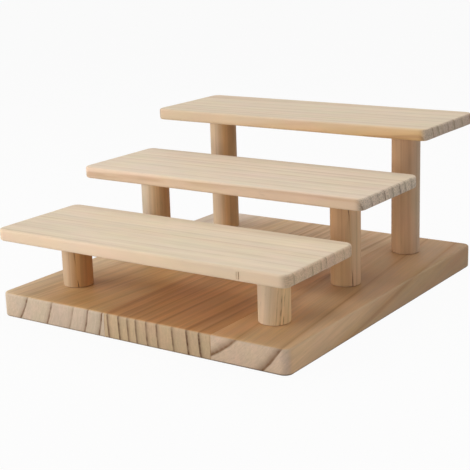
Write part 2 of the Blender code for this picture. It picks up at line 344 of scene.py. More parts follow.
def base_stave_tree():
    """One stave of the base: the eased panel from one cut to another, countersunk from below for screws."""
    tree, size, node = shaping_tree("base_stave", {
        "Post Axes": GEOMETRY, **BOARD_SIZES, "Cut From": FLOAT, "Cut To": FLOAT, "Material": MATERIAL})
    panel = node("GeometryNodeGroup", {label: size[label] for label in BOARD_SIZES}, node_tree=EASED_BOARD)
    width = node(MATH, (size["Cut To"], size["Cut From"]), "SUBTRACT")
    middle = node(MATH, (size["Cut To"], size["Cut From"]), "ADD")
    middle = node(MATH, (middle, 0.5), "MULTIPLY")
    middle = node(COMBINE_XYZ, {"X": middle})
    slab = node(COMBINE_XYZ, (width, CUTTER_REACH, CUTTER_REACH))
    slab = node("GeometryNodeMeshCube", {"Size": slab})
    slab = node(TRANSFORM, {"Geometry": slab, "Translation": middle})
    slab = node("GeometryNodeSetShadeSmooth", {"Geometry": slab, "Shade Smooth": False})
    stave = node(BOOLEAN, {"Mesh 2": [panel, slab]}, "INTERSECT", solver="MANIFOLD")
    straight = node(CYLINDER, {
        "Vertices": ROUND_SIDES, "Radius": COUNTERSINK_RADIUS, "Depth": 2 * COUNTERSINK_STRAIGHT})
    narrow = SCREW_HOLE_RADIUS - CUTTER_OVERLAP
    cone = node("GeometryNodeMeshCone", {
        "Vertices": ROUND_SIDES, "Radius Bottom": COUNTERSINK_RADIUS, "Radius Top": narrow,
        "Depth": COUNTERSINK_RADIUS - narrow})
    start = (0.0, 0.0, COUNTERSINK_STRAIGHT - CUTTER_OVERLAP)
    cone = node(TRANSFORM, {"Geometry": cone, "Translation": start})
    hole = node(CYLINDER, {"Vertices": ROUND_SIDES, "Radius": SCREW_HOLE_RADIUS, "Depth": SCREW_HOLE_LENGTH})
    cutters = [at_points(node, size["Post Axes"], cutter) for cutter in (straight, cone, hole)]
    stave = node(BOOLEAN, {"Mesh 1": stave, "Mesh 2": cutters}, "DIFFERENCE", solver="MANIFOLD")
    end_tree(node, stave, size["Material"])
    return tree


BASE_STAVE = base_stave_tree()

# Sanded pine, left bare: cream spring wood and amber summer wood, matt. Boards are rubbed along their upper
# rims, but the right stave's darker rim tint is painted shade, and so is the dark along the base's lower
# rims.
# Cut ends drink light, so most look darker than faces.
MILLIMETRE = 0.001
PINE_SWAY_SIZE = (60.0, 240.0, 60.0)
# Each mark's size across the rings, along the grain and along a ring, and the stretch of its noise over
# which it comes in. Real fibres and pores are finer than this: they are drawn this coarse so that they show.
PINE_MARK_SIZES = {
    "fibre": (1.3, 60.0, 6.0), "streak": (3.5, 190.0, 30.0), "mottle": (14.0, 35.0, 14.0),
    "fleck": (1.4, 12.0, 4.0), "pore": (1.1, 6.0, 1.1), "break": (8.0, 45.0, 6.0)}
PINE_MARK_STRETCHES = {
    "fibre": (0.3, 0.7), "streak": (0.42, 0.68), "mottle": (0.3, 0.7),
    "fleck": (0.66, 0.76), "pore": (0.4, 0.65), "break": (0.38, 0.58)}
PINE_FRAY = 1.0
PINE_BLUSH = 0.12
# The dark colour inside a drying check is painted shade in the crack.
PINE_CHECK_PAINTED_SHADE = "#4A2E1A"
PINE_CHECK_FULL = 0.5
PINE_END_SQUARENESS = (0.2, 0.9)
PINE_ROUGHNESS = (0.52, 0.66)
PINE_IOR = 1.5
PINE_SPECULAR = 0.3
PINE_BUMP = 0.25
PINE_RELIEF = 0.0003
PINE_LINE_RELIEF = 0.5
# The parts of a year at which its shade and its dark line begin, and the most of its ring that each takes
SHADE_SEASON = 0.4
LINE_SEASON = 0.7
WIDEST_SHADE = 0.75
WIDEST_LINE = 0.4


def crisp_year(shade):
    """Darkness through a year, spring to autumn: a slow shade, then a thin dark line with a sharp end."""
    return ((0.0, 0.5), (0.015, 0.0), (SHADE_SEASON, 0.03 * shade), (0.55, 0.4 * shade),
            (LINE_SEASON, shade), (0.82, 1.0), (0.96, 1.0), (1.0, 0.5))


def soft_year(shade):
    """The same on a planed face, which cuts the rings at a slant: the line's end is soft too."""
    return ((0.0, 0.5), (0.04, 0.12), (0.09, 0.0), (SHADE_SEASON, 0.2 * shade), (LINE_SEASON, shade),
            (0.85, 1.0), (1.0, 0.5))


def inside_log(node, log, sway, seed):
    """A point of the surface as it lay in the log, with the grain along Y and swaying a little to the sides,
    and the surface's normal there."""
    turn = tuple(math.radians(angle) for angle in log["turn"])
    inside = node("ShaderNodeMapping", {
        "Vector": node("ShaderNodeTexCoord").outputs["Object"], "Rotation": turn,
        "Location": tuple(c * MILLIMETRE for c in log["pith"]), "Scale": (MILLIMETRE,) * 3},
        vector_type="TEXTURE")
    normal = node("ShaderNodeNewGeometry").outputs["Normal"]
    normal = node("ShaderNodeMapping", {"Vector": normal, "Rotation": turn}, vector_type="TEXTURE")
    wave = node(VECTOR_MATH, (inside, PINE_SWAY_SIZE), "DIVIDE")
    wave = node(NOISE, {"Vector": wave, "W": seed, "Scale": 1.0, "Detail": 2.0}, noise_dimensions="4D")
    wave = node(VECTOR_MATH, (wave.outputs["Color"], (0.5, 0.5, 0.5)), "SUBTRACT")
    inside = node(VECTOR_MATH, (wave, (2 * sway, 0.0, 2 * sway), inside), "MULTIPLY_ADD")
    return inside, normal


def ring_years(node, share, rings, look):
    """The years grown at a share of the way through the rings. Each year's time is stretched so that its
    shade and its dark line get their widths."""
    years = node("ShaderNodeFloatCurve", {"Value": share})
    curve = years.mapping.curves[0]
    span = rings[-1] - rings[0]
    for year, (inner, outer) in enumerate(zip(rings, rings[1:])):
        shaded = min(look["reach"], WIDEST_SHADE * (outer - inner))
        lined = min(look["line"], WIDEST_LINE * (outer - inner))
        for short, season in ((shaded, SHADE_SEASON), (lined, LINE_SEASON), (0.0, 1.0)):
            if outer - short < rings[-1]:
                curve.points.new((outer - short - rings[0]) / span, (year + season) / (len(rings) - 1))
    for point in curve.points:
        point.handle_type = "VECTOR"
    years.mapping.update()
    return node(MATH, (years, len(rings) - 1.0), "MULTIPLY")


def grain_marks(node, grown, look, seed):
    """The noise of each mark in the wood, and what the mark makes of it at its strength in a look."""
    strengths = {
        "fibre": (1.0 - look["fibre"], 1.0 + look["fibre"]), "streak": (0.0, look["streaks"]),
        "mottle": (1.0 - look["mottle"], 1.0 + look["mottle"]), "fleck": (1.0, 1.0 - look["flecks"]),
        "pore": (0.0, look["speckle"]), "break": (1.0 - look["breaks"], 1.0)}
    noises, marks = {}, {}
    for step, (mark, size) in enumerate({**PINE_MARK_SIZES, **look["sizes"]}.items(), start=1):
        scaled = node(VECTOR_MATH, (grown, size), "DIVIDE")
        noises[mark] = node(NOISE, {"Vector": scaled, "W": seed + step, "Scale": 1.0, "Detail": 2.0},
                            noise_dimensions="4D")
        marks[mark] = node(RANGE, (noises[mark], *PINE_MARK_STRETCHES[mark], *strengths[mark]))
    return noises, marks


def with_wear_and_painted_shade(node, colour, look):
    """The wood's colour, rubbed along an upper rim, with painted shade where that tint is darker, and with
    painted shade along a lower rim and in a drying check.
    """
    eased = node("ShaderNodeAttribute", attribute_name="eased_edge").outputs["Fac"]
    check = node("ShaderNodeAttribute", attribute_name="drying_check").outputs["Fac"]
    for tint_mask, full, most, tint in ((eased, 1.0, *look["upper_rim_wear_and_shade"]), (eased, -1.0, *look["lower_rim_painted_shade"]),
                                   (check, PINE_CHECK_FULL, 1.0, PINE_CHECK_PAINTED_SHADE)):
        share = node(RANGE, (tint_mask, 0.0, full, 0.0, most))
        colour = node(MIX, {0: share, 6: colour, 7: linear(tint)}, data_type="RGBA").outputs[2]
    return colour


def solid_pine(name, log, look, seed):
    """Pine as a solid: growth rings round a pith, seen as bands on the ends and as long lines on the faces.
    A log is its turn in degrees, a point on its pith and its rings' radii. A look is its colours, with those
    of spring wood by distance from the pith, the course of a year on faces and ends, and how much each mark
    shows."""
    material, node = blank_material(name)
    rings = log["rings"]
    span = rings[-1] - rings[0]
    inside, normal = inside_log(node, log, look["sway"], seed)
    apart = node("ShaderNodeSeparateXYZ", (inside,)).outputs
    across = node(VECTOR_MATH, (inside, (1.0, 0.0, 1.0)), "MULTIPLY")
    radius = node(VECTOR_MATH, (across,), "LENGTH").outputs["Value"]
    arc = node(MATH, (apart["X"], apart["Z"]), "ARCTAN2")
    arc = node(MATH, (arc, (rings[0] + rings[-1]) / 2), "MULTIPLY")
    grown = node(COMBINE_XYZ, (radius, apart["Y"], arc))
    noises, marks = grain_marks(node, grown, look, seed)

    frayed = node(MATH, (noises["fibre"], PINE_FRAY, radius), "MULTIPLY_ADD")
    share = node(RANGE, (frayed, rings[0] + PINE_FRAY / 2, rings[-1] + PINE_FRAY / 2))
    years = ring_years(node, share, rings, look)
    season = node(MATH, (years,), "FRACT")
    year = node(MATH, (years,), "FLOOR")
    cuts = ("face_year", "end_year")
    stops = {cut: [(at, (dark, dark, dark, 1.0)) for at, dark in look[cut]] for cut in cuts}
    stops["spring"] = [((distance - rings[0]) / span, linear(wood)) for distance, wood in look["spring"]]
    ramps = {}
    for course, (first, *others) in stops.items():
        ramps[course] = node("ShaderNodeValToRGB", {"Fac": share if course == "spring" else season})
        elements = ramps[course].color_ramp.elements
        elements.remove(elements[1])
        elements[0].position, elements[0].color = first
        for at, colour in others:
            elements.new(at).color = colour
    chance = node(MATH, (year, seed), "ADD")
    chance = node("ShaderNodeTexWhiteNoise", {"W": chance}, noise_dimensions="1D").outputs["Color"]
    chance = node("ShaderNodeSeparateColor", {"Color": chance}).outputs
    strength = node(RANGE, (chance["Red"], 0.0, 1.0, look["faintest"]))
    strength = node(MATH, (strength, marks["break"]), "MULTIPLY")
    latewood, end_latewood = [node(MATH, (ramps[cut], strength), "MULTIPLY") for cut in cuts]

    outward = node(VECTOR_MATH, (across,), "NORMALIZE")
    facings = []
    for way in ((0.0, 1.0, 0.0), outward, (1.0, 0.0, 0.0)):
        along = node(VECTOR_MATH, (normal, way), "DOT_PRODUCT").outputs["Value"]
        facings.append(node(MATH, (along,), "ABSOLUTE"))
    endwise, outwards, sideways = facings
    end = node(RANGE, (endwise, *PINE_END_SQUARENESS), interpolation_type="SMOOTHSTEP")
    # A tint that comes in along the grain is painted light and shade, for how the light falls from one end
    # of a board to the other.
    painted_light_from, painted_light_to, painted_light_tint = look["painted_light_along"]
    painted_light_along = node(RANGE, (apart["Y"], painted_light_from, painted_light_to))
    spring = node(MIX, {0: painted_light_along, 6: ramps["spring"], 7: linear(painted_light_tint)}, data_type="RGBA",
                  blend_type="MULTIPLY").outputs[2]
    shown = node(RANGE, (outwards, 0.0, 1.0, look["face_share"], look["flat_share"]))
    shown = node(MATH, (latewood, shown, marks["streak"]), "MULTIPLY_ADD", use_clamp=True)
    face = node(MIX, {0: shown, 6: spring, 7: linear(look["summer"])}, data_type="RGBA").outputs[2]
    face = node(MIX, {0: sideways, 6: face, 7: linear(look["edge_tint"])}, data_type="RGBA",
                blend_type="MULTIPLY").outputs[2]
    butt = node(MIX, {0: end_latewood, 6: linear(look["end_spring"]), 7: linear(look["end_summer"])},
                data_type="RGBA").outputs[2]
    colour = node(MIX, {0: end, 6: face, 7: butt}, data_type="RGBA").outputs[2]

    tone = node(RANGE, (chance["Green"], 0.0, 1.0, 1.0 - look["year_tone"], 1.0 + look["year_tone"]))
    pores = node(MATH, (marks["pore"], end), "MULTIPLY")
    pores = node(MATH, (1.0, pores), "SUBTRACT")
    for change in (marks["fibre"], marks["mottle"], marks["fleck"], pores):
        tone = node(MATH, (tone, change), "MULTIPLY")
    colour = node(VECTOR_MATH, {0: colour, "Scale": tone}, "SCALE")
    mottled = noises["mottle"].outputs["Color"]
    blush = node(VECTOR_MATH, (mottled, (PINE_BLUSH,) * 3, (1.0 - PINE_BLUSH / 2,) * 3), "MULTIPLY_ADD")
    colour = node(VECTOR_MATH, (colour, blush), "MULTIPLY")
    colour = with_wear_and_painted_shade(node, colour, look)
    roughness = node(RANGE, (noises["fibre"], *PINE_MARK_STRETCHES["fibre"], *PINE_ROUGHNESS))
    height = node(MATH, (latewood, PINE_LINE_RELIEF, noises["fibre"]), "MULTIPLY_ADD")
    bump = node("ShaderNodeBump", {"Height": height, "Strength": PINE_BUMP, "Distance": PINE_RELIEF})
    wood = node("ShaderNodeBsdfPrincipled", {
        "Base Color": colour, "Roughness": roughness, "Normal": bump, "IOR": PINE_IOR,
        "Specular IOR Level": PINE_SPECULAR})
    node("ShaderNodeOutputMaterial", {"Surface": wood})
    return material


BARE_PINE = dict(painted_light_along=(0.0, 1.0, PURE_WHITE), edge_tint=PURE_WHITE, upper_rim_wear_and_shade=(0.0, PURE_WHITE),
                 lower_rim_painted_shade=(0.0, PURE_WHITE), sizes={})
BASE_PINE = dict(
    BARE_PINE, summer="#9C6634", face_share=0.5, flat_share=0.6, line=1.7, reach=5.0,
    face_year=soft_year(0.75), end_year=crisp_year(0.4), sway=1.0, faintest=0.4, breaks=0.3, year_tone=0.04,
    fibre=0.08, streaks=0.2, mottle=0.03, flecks=0.1, speckle=0.06, upper_rim_wear_and_shade=(0.12, "#D9BC98"),
    # The dark along the base's lower rims is painted shade, where the base meets the table.
    lower_rim_painted_shade=(0.7, "#6B563F"))
POSTS = [f"{tier}_{side}_post" for tier in ("front", "middle", "rear") for side in ("left", "right")]


def round_solid(name):
    """The foot of a round solid's axis, its length and its radius."""
    near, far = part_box(name)
    foot = Vector(((near.x + far.x) / 2, (near.y + far.y) / 2, near.z))
    return foot, far.z - near.z, (far.x - near.x) / 2


post_feet = [round_solid(post)[0] for post in POSTS]
low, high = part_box("base_left_stave")[0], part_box("base_right_stave")[1]
panel = board_sizes(low, high, BASE_CORNER_RADIUS, BASE_EDGE_RADIUS, BASE_HAND_EASING, BASE_SEED)
glue_left = (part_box("base_left_stave")[1].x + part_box("base_middle_stave")[0].x) / 2
glue_right = (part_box("base_middle_stave")[1].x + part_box("base_right_stave")[0].x) / 2
STAVES = {
    "base_left_stave": dict(
        cut=(low.x - CUT_OVERRUN, glue_left - GLUE_HAIRLINE / 2), seed=17.2, turn=(0.0, 0.0, -4.0),
        pith=(-198.0, -170.0, 49.0), rings=(50, 84.6, 112.4, 135.8, 151.8, 167.2, 181),
        look=dict(spring=((62, "#E9D6C2"), (118, "#E6C398")), end_spring="#C7B199", end_summer="#6A4424",
                  line=1.9, reach=6.5, face_share=0.25, flat_share=0.45, streaks=0.22,
                  painted_light_along=(280.0, 130.0, "#FFF3D8"))),
    "base_middle_stave": dict(
        cut=(glue_left + GLUE_HAIRLINE / 2, glue_right - GLUE_HAIRLINE / 2), seed=315.3,
        turn=(0.0, 0.0, 0.0), pith=(190.0, -170.0, 23.0),
        rings=(100, 124.3, 136.2, 150.7, 166.6, 177.6, 188.6, 197.3, 206.8, 218.5, 230),
        look=dict(spring=((100, "#E0BE95"),), end_spring="#C2A683", end_summer="#5A3618", line=2.2,
                  faintest=0.55, face_share=0.45, streaks=0.28, painted_light_along=(215.0, 165.0, "#FEE2C2"))),
    "base_right_stave": dict(
        cut=(glue_right + GLUE_HAIRLINE / 2, high.x + CUT_OVERRUN), seed=32.2, turn=(0.0, 0.0, 6.5),
        pith=(29.8, -170.0, 98.1), rings=(65, 105.5, 137.2, 163, 190),
        look=dict(spring=((101, "#F0C08A"), (108, "#F6CC98"), (118, "#F6CC98"), (125, "#E9C190"),
                          (134, "#E9C190"), (141, "#DEB98E"), (157, "#DEB98E"), (161, "#D4B182"),
                          (174, "#C6A37A")),
                  end_spring="#D8BCA0", end_summer="#7D5838", line=2.2, reach=8.5, face_year=soft_year(0.4),
                  end_year=crisp_year(0.75), faintest=0.85, sway=0.6, breaks=0.2, streaks=0.12,
                  # This stave's upper rim tint is darker than its wood: painted shade along the rim.
                  painted_light_along=(50.0, 140.0, "#E2DDDC"), upper_rim_wear_and_shade=(0.25, "#B09A82"), lower_rim_painted_shade=(0.9, "#4E3B2A"))),
}
for name, stave in STAVES.items():
    pine = solid_pine(f"sanded_pine_{name}", stave, {**BASE_PINE, **stave["look"]}, stave["seed"])
    cut_from, cut_to = stave["cut"]
    board = shaped(f"{name}_board", BASE_STAVE, {
        **panel, "Cut From": cut_from, "Cut To": cut_to, "Material": pine},
        [(foot.x, foot.y, low.z) for foot in post_feet])
    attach(board, "root")
    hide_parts(name)

# The base screws: zinc-plated wood screws, one driven up through the base into the foot of each post, their
# heads sunk just below the underside. None is seen in the photograph; a stand like this needs them.
SCREWS = [post.replace("_post", "_base_screw") for post in POSTS]
SCREW_CORE_RADIUS = 0.0015
SCREW_THREAD_RADIUS = 0.002
SCREW_THREAD_FROM = 0.014
SCREW_PITCH = 0.002
SCREW_HEAD_RIM = 0.0004
SCREW_RIDGE = (0.25, 0.5)
SCREW_POINT = 0.005
SCREW_SIDES = 32
SCREW_ROWS = 150
RECESS_REACH = 0.0022
RECESS_WIDTH = 0.001
RECESS_DEPTH = 0.0016
CORNER_BEND = math.radians(32.0)


def wrapped(node, sheet, angle, radius, height):
    """Wraps a grid round the upright axis and closes its seam and its two poles."""
    cosine = node(MATH, (angle,), "COSINE")
    sine = node(MATH, (angle,), "SINE")
    point = node(COMBINE_XYZ, (cosine, sine))
    point = node(VECTOR_MATH, {0: point, "Scale": radius}, "SCALE")
    point = node(VECTOR_MATH, (point, node(COMBINE_XYZ, {"Z": height})), "ADD")
    sheet = node("GeometryNodeSetPosition", {"Geometry": sheet, "Position": point})
    return node("GeometryNodeMergeByDistance", {"Geometry": sheet, "Distance": MERGE_DISTANCE})


def crisp(node, mesh):
    """Shades a mesh smooth, with its true corners left sharp."""
    bend = node("GeometryNodeInputMeshEdgeAngle")
    corner = node(MATH, (bend, CORNER_BEND), "GREATER_THAN")
    mesh = node("GeometryNodeSetShadeSmooth", {"Geometry": mesh, "Shade Smooth": True})
    return node("GeometryNodeSetShadeSmooth", {"Geometry": mesh, "Selection": corner, "Shade Smooth": False},
                domain="EDGE")


def wood_screws_tree():
    """Countersunk wood screws, standing on their heads, each with a helical thread and a cross recess."""
    tree, size, node = shaping_tree("wood_screws", {
        "Head Centres": GEOMETRY, "Length": FLOAT, "Head Radius": FLOAT, "Core Radius": FLOAT,
        "Thread Radius": FLOAT, "Pitch": FLOAT, "Material": MATERIAL})
    sheet, across, row = unit_sheet(node, SCREW_SIDES + 1, SCREW_ROWS)
    row_step = 1.0 / (SCREW_ROWS - 1)
    height = node(RANGE, (row, row_step, 1.0, 0.0, size["Length"]))
    angle = node(MATH, (across, 2 * math.pi), "MULTIPLY")
    cone = node(MATH, (size["Head Radius"], SCREW_HEAD_RIM), "ADD")
    cone = node(MATH, (cone, height), "SUBTRACT")
    cone = node(MATH, (cone, size["Head Radius"]), "MINIMUM")
    left = node(MATH, (size["Length"], height), "SUBTRACT")
    taper = node(RANGE, (left, 0.0, SCREW_POINT))
    core = node(MATH, (size["Core Radius"], taper), "MULTIPLY")
    body = node(MATH, (cone, core), "MAXIMUM")
    turns = node(MATH, (height, size["Pitch"]), "DIVIDE")
    phase = node(MATH, (turns, across), "SUBTRACT")
    phase = node(MATH, (phase, 0.5), "PINGPONG")
    ridge = node(RANGE, (phase, *SCREW_RIDGE))
    run_in = node(RANGE, (height, SCREW_THREAD_FROM, SCREW_THREAD_FROM + SCREW_PITCH))
    crest = node(MATH, (size["Thread Radius"], size["Core Radius"]), "SUBTRACT")
    for share in (taper, ridge, run_in):
        crest = node(MATH, (crest, share), "MULTIPLY")
    radius = node(MATH, (body, crest), "ADD")
    off_pole = node(MATH, (row, row_step / 2), "GREATER_THAN")
    radius = node(MATH, (radius, off_pole), "MULTIPLY")
    screw = wrapped(node, sheet, angle, radius, height)
    arms = [node("GeometryNodeMeshCube", {"Size": (*arm, 2 * RECESS_DEPTH)})
            for arm in ((2 * RECESS_REACH, RECESS_WIDTH), (RECESS_WIDTH, 2 * RECESS_REACH))]
    screw = node(BOOLEAN, {"Mesh 1": screw, "Mesh 2": arms}, "DIFFERENCE", solver="MANIFOLD")
    screws = at_points(node, size["Head Centres"], crisp(node, screw))
    end_tree(node, screws, size["Material"])
    return tree


# Zinc-plated steel: bright, faintly blue and milky, with a soft sheen, a little duller in blotches.
ZINC_BRIGHT, ZINC_DULL = "#C9CDD2", "#AEB0AC"
ZINC_BLOTCH = 0.0012
ZINC_ROUGHNESS = (0.26, 0.46)
ZINC_BUMP = 0.15
ZINC_RELIEF = 0.0001
zinc_plated_steel, node = blank_material("zinc_plated_steel_screws")
place = node("ShaderNodeTexCoord").outputs["Object"]
blotch = node(NOISE, {"Vector": place, "Scale": 1.0 / ZINC_BLOTCH, "Detail": 3.0})
plating = node(MIX, {0: blotch, 6: linear(ZINC_BRIGHT), 7: linear(ZINC_DULL)}, data_type="RGBA").outputs[2]
dullness = node(RANGE, (blotch, 0.0, 1.0, *ZINC_ROUGHNESS))
bump = node("ShaderNodeBump", {"Height": blotch, "Strength": ZINC_BUMP, "Distance": ZINC_RELIEF})
steel = node("ShaderNodeBsdfPrincipled", {
    "Base Color": plating, "Metallic": 1.0, "Roughness": dullness, "Normal": bump})
node("ShaderNodeOutputMaterial", {"Surface": steel})

head, length, radius = round_solid(SCREWS[0])
screws = shaped("base_screws", wood_screws_tree(), {
    "Length": length, "Head Radius": radius, "Core Radius": SCREW_CORE_RADIUS,
    "Thread Radius": SCREW_THREAD_RADIUS, "Pitch": SCREW_PITCH, "Material": zinc_plated_steel},
    [(foot.x, foot.y, head.z) for foot in post_feet])
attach(screws, "root")
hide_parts(*SCREWS)

# The posts: pine rod cut to three lengths, two under each shelf, with the grain standing upright. Their ends
# are eased and bored for a pin above and a screw below, and two have opened a drying check along the grain.
POST_END_EASE = 0.0008
POST_SIDES = 144
POST_ROWS = 64
CHECK_COLUMN_SPACING = 0.25
CHECK_WAVE = 0.012
PIN_BORE_RADIUS = 0.0043
PIN_BORE_IN_POST = 0.0128
SCREW_BORE_IN_POST = 0.0186
POST_PINE = dict(
    BARE_PINE, summer="#7A4A28", end_spring="#DCC4A6", end_summer="#8F6A48", face_share=0.22,
    flat_share=0.22, line=0.8, reach=2.5, face_year=crisp_year(0.3), end_year=crisp_year(0.3), sway=0.5,
    faintest=0.3, breaks=0.7, year_tone=0.05, fibre=0.06, streaks=0.14, mottle=0.04, flecks=0.2,
    speckle=0.04)
UPRIGHT = (90.0, 0.0, 0.0)


def drying_check(bearing=90.0, lean=0.0, width=0.0006, depth=0.0, foot=0.1, head=0.1, hairline=0.0,
                 wander=0.0):
    """A check's degrees round the post's foot, how far it leans by the head, how wide and deep it gapes, the
    shares of the post that it runs from either end, how thin it stays between them, and how far it wanders.
    With no depth there is no check."""
    return {"Check Bearing": math.radians(bearing), "Check Lean": math.radians(lean), "Check Width": width,
            "Check Depth": depth, "Check Foot Reach": foot, "Check Head Reach": head,
            "Check Hairline": hairline, "Check Wander": wander}


def rod_rows(node, row, rows, length):
    """Rows of a rod, drawn closer together towards its ends: their share of its length, their height, their
    distance from the nearer end, and 0 at the two poles but 1 elsewhere."""
    row_step = 1.0 / (rows - 1)
    rise = node(RANGE, (row, row_step, 1.0 - row_step, 0.0, math.pi))
    rise = node(MATH, (rise,), "COSINE")
    rise = node(MATH, (rise, -0.5, 0.5), "MULTIPLY_ADD")
    height = node(MATH, (rise, length), "MULTIPLY")
    from_end = node(MATH, (length, height), "SUBTRACT")
    from_end = node(MATH, (from_end, height), "MINIMUM")
    off_middle = node(MATH, (row, 0.5), "SUBTRACT")
    off_middle = node(MATH, (off_middle,), "ABSOLUTE")
    off_pole = node(MATH, (off_middle, 0.5 - row_step / 2), "LESS_THAN")
    return rise, height, from_end, off_pole


def turned_post_tree():
    """A round rod with eased, bored ends, its columns closest along the line that a check can follow."""
    tree, size, node = shaping_tree("turned_post", {
        **dict.fromkeys(("Length", "Radius", "End Ease", *drying_check(), "Seed"), FLOAT),
        "Foot": VECTOR, "Material": MATERIAL})
    sheet, across, row = unit_sheet(node, POST_SIDES + 1, POST_ROWS)
    rise, height, from_end, off_pole = rod_rows(node, row, POST_ROWS, size["Length"])

    cube = node(MATH, (across, 3.0), "POWER")
    cube = node(MATH, (cube, 4 * (1.0 - CHECK_COLUMN_SPACING)), "MULTIPLY")
    around = node(MATH, (across, CHECK_COLUMN_SPACING, cube), "MULTIPLY_ADD")
    around = node(MATH, (around, 2 * math.pi), "MULTIPLY")
    beside = node(MATH, (around, size["Radius"]), "MULTIPLY")
    beside = node(MATH, (beside,), "ABSOLUTE")
    half = node(MATH, (size["Check Width"], 0.5), "MULTIPLY")
    groove = node(RANGE, (beside, 0.0, half, 1.0, 0.0))
    sunk = node(MATH, (1.0, rise), "SUBTRACT")
    gapes = [node(RANGE, (share, 0.0, size[reach], 1.0, 0.0))
             for share, reach in ((rise, "Check Foot Reach"), (sunk, "Check Head Reach"))]
    gape = node(MATH, tuple(gapes), "MAXIMUM")
    gape = node(MATH, (gape, size["Check Hairline"]), "MAXIMUM")
    marked = node(MATH, (size["Check Depth"], 0.0), "GREATER_THAN")
    for share in (gape, marked):
        groove = node(MATH, (groove, share), "MULTIPLY")

    short = node(MATH, (size["End Ease"], from_end), "SUBTRACT")
    short = node(MATH, (short, 0.0), "MAXIMUM")
    short = node(MATH, (short, short), "MULTIPLY")
    ease = node(MATH, (size["End Ease"], size["End Ease"]), "MULTIPLY")
    ease = node(MATH, (ease, short), "SUBTRACT")
    ease = node(MATH, (ease,), "SQRT")
    ease = node(MATH, (size["End Ease"], ease), "SUBTRACT")
    cut = node(MATH, (groove, size["Check Depth"]), "MULTIPLY")
    radius = size["Radius"]
    for taken in (ease, cut):
        radius = node(MATH, (radius, taken), "SUBTRACT")
    radius = node(MATH, (radius, off_pole), "MULTIPLY")

    along = node(MATH, (height, 1.0 / CHECK_WAVE, size["Seed"]), "MULTIPLY_ADD")
    wander = node(NOISE, {"W": along, "Scale": 1.0, "Detail": 2.0}, noise_dimensions="1D")
    wander = node(MATH, (wander, 0.5), "SUBTRACT")
    angle = node(MATH, (wander, size["Check Wander"], size["Check Bearing"]), "MULTIPLY_ADD")
    angle = node(MATH, (rise, size["Check Lean"], angle), "MULTIPLY_ADD")
    angle = node(MATH, (around, angle), "ADD")
    sheet = node("GeometryNodeStoreNamedAttribute", {
        "Geometry": sheet, "Name": "drying_check", "Value": groove}, data_type="FLOAT", domain="POINT")
    rod = wrapped(node, sheet, angle, radius, height)

    pin_bore = node(CYLINDER, {
        "Vertices": ROUND_SIDES, "Radius": PIN_BORE_RADIUS, "Depth": 2 * PIN_BORE_IN_POST})
    head = node(COMBINE_XYZ, {"Z": size["Length"]})
    pin_bore = node(TRANSFORM, {"Geometry": pin_bore, "Translation": head})
    screw_bore = node(CYLINDER, {
        "Vertices": ROUND_SIDES, "Radius": SCREW_HOLE_RADIUS, "Depth": 2 * SCREW_BORE_IN_POST})
    rod = node(BOOLEAN, {"Mesh 1": rod, "Mesh 2": [pin_bore, screw_bore]}, "DIFFERENCE", solver="MANIFOLD")
    rod = node(TRANSFORM, {"Geometry": crisp(node, rod), "Translation": size["Foot"]})
    end_tree(node, rod, size["Material"])
    return tree


TURNED_POST = turned_post_tree()
# Each post's spring colours change with distance from its pith, so from one side to the other. This is
# partly heartwood and sapwood, and partly painted light and shade that makes its sides lighter and darker.
ROD_LOGS = {
    "front_left_post": dict(
        pith=(33.0, 23.0), rings=(15, 27, 33, 38.5, 43.5, 48, 53, 58), seed=41.0,
        look=dict(spring=((33, "#D8A26C"), (42, "#C49561"), (50, "#C5A989")))),
    "front_right_post": dict(
        pith=(-38.7, -48.2), rings=(30, 57.8, 61.2, 63.8, 68, 74, 80), seed=41.8, turn=(87.2, 4.1, 0.0),
        look=dict(spring=((50, "#D9C1A2"), (62, "#F3CE99")), summer="#5E3719", line=1.1, reach=5.0,
                  faintest=0.0, face_share=0.6, flat_share=0.6, breaks=0.95,
                  sizes={"break": (2.0, 10.0, 4.0)})),
    "middle_left_post": dict(
        pith=(36.0, 25.0), rings=(15, 28, 35, 41, 46, 51, 57, 64), seed=43.0,
        look=dict(spring=((34, "#E2B480"), (45, "#F0D09F"), (53, "#D7C3AA")))),
    "middle_right_post": dict(
        pith=(-37.0, -26.0), rings=(20, 36, 43, 49, 55, 60, 66, 74), seed=44.0,
        look=dict(spring=((49.5, "#CBA377"), (52, "#D6B089")))),
    "rear_left_post": dict(
        pith=(36.0, 25.0), rings=(15, 26, 34, 41, 47, 53, 58, 64), seed=45.0,
        look=dict(spring=((36, "#C8A071"), (45, "#D7AB79"), (52, "#D6BB9B")))),
    "rear_right_post": dict(
        pith=(50.0, 50.0), rings=(40, 58, 66, 73, 80, 87, 95), seed=46.0,
        look=dict(spring=((62, "#CCB093"), (72, "#C69E78")))),
}
CHECKS = {
    "front_left_post": drying_check(
        bearing=-48.0, lean=-14.0, width=0.0009, depth=0.0009, foot=0.17, head=0.6, wander=0.08),
    "middle_right_post": drying_check(
        bearing=-32.8, lean=-18.9, width=0.0008, depth=0.0011, foot=0.22, head=0.35, hairline=0.08,
        wander=0.08),
}
for name, rod in ROD_LOGS.items():
    foot, length, radius = round_solid(name)
    pith_x, pith_y = rod["pith"]
    log = {"turn": rod.get("turn", UPRIGHT), "rings": rod["rings"],
           "pith": (foot.x / MILLIMETRE + pith_x, foot.y / MILLIMETRE + pith_y, 0.0)}
    pine = solid_pine(f"sanded_pine_{name}", log, {**POST_PINE, **rod["look"]}, rod["seed"])
    post = shaped(f"{name}_rod", TURNED_POST, {
        "Length": length, "Radius": radius, "End Ease": POST_END_EASE, "Foot": foot, "Seed": rod["seed"],
        **CHECKS.get(name, drying_check()), "Material": pine})
    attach(post, "root")
    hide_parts(name)

# The dowel pins: fluted beech pins, glued into the head of each post and a blind hole in the shelf above it.
# None is seen in the photograph; the bare tops of the shelves call for a hidden joint.
PINS = [post.replace("_post", "_dowel_pin") for post in POSTS]
PIN_SIDES = 96
PIN_ROWS = 24
PIN_FLUTES = 12
PIN_FLUTE_DEPTH = 0.0004
PIN_CHAMFER = 0.0008


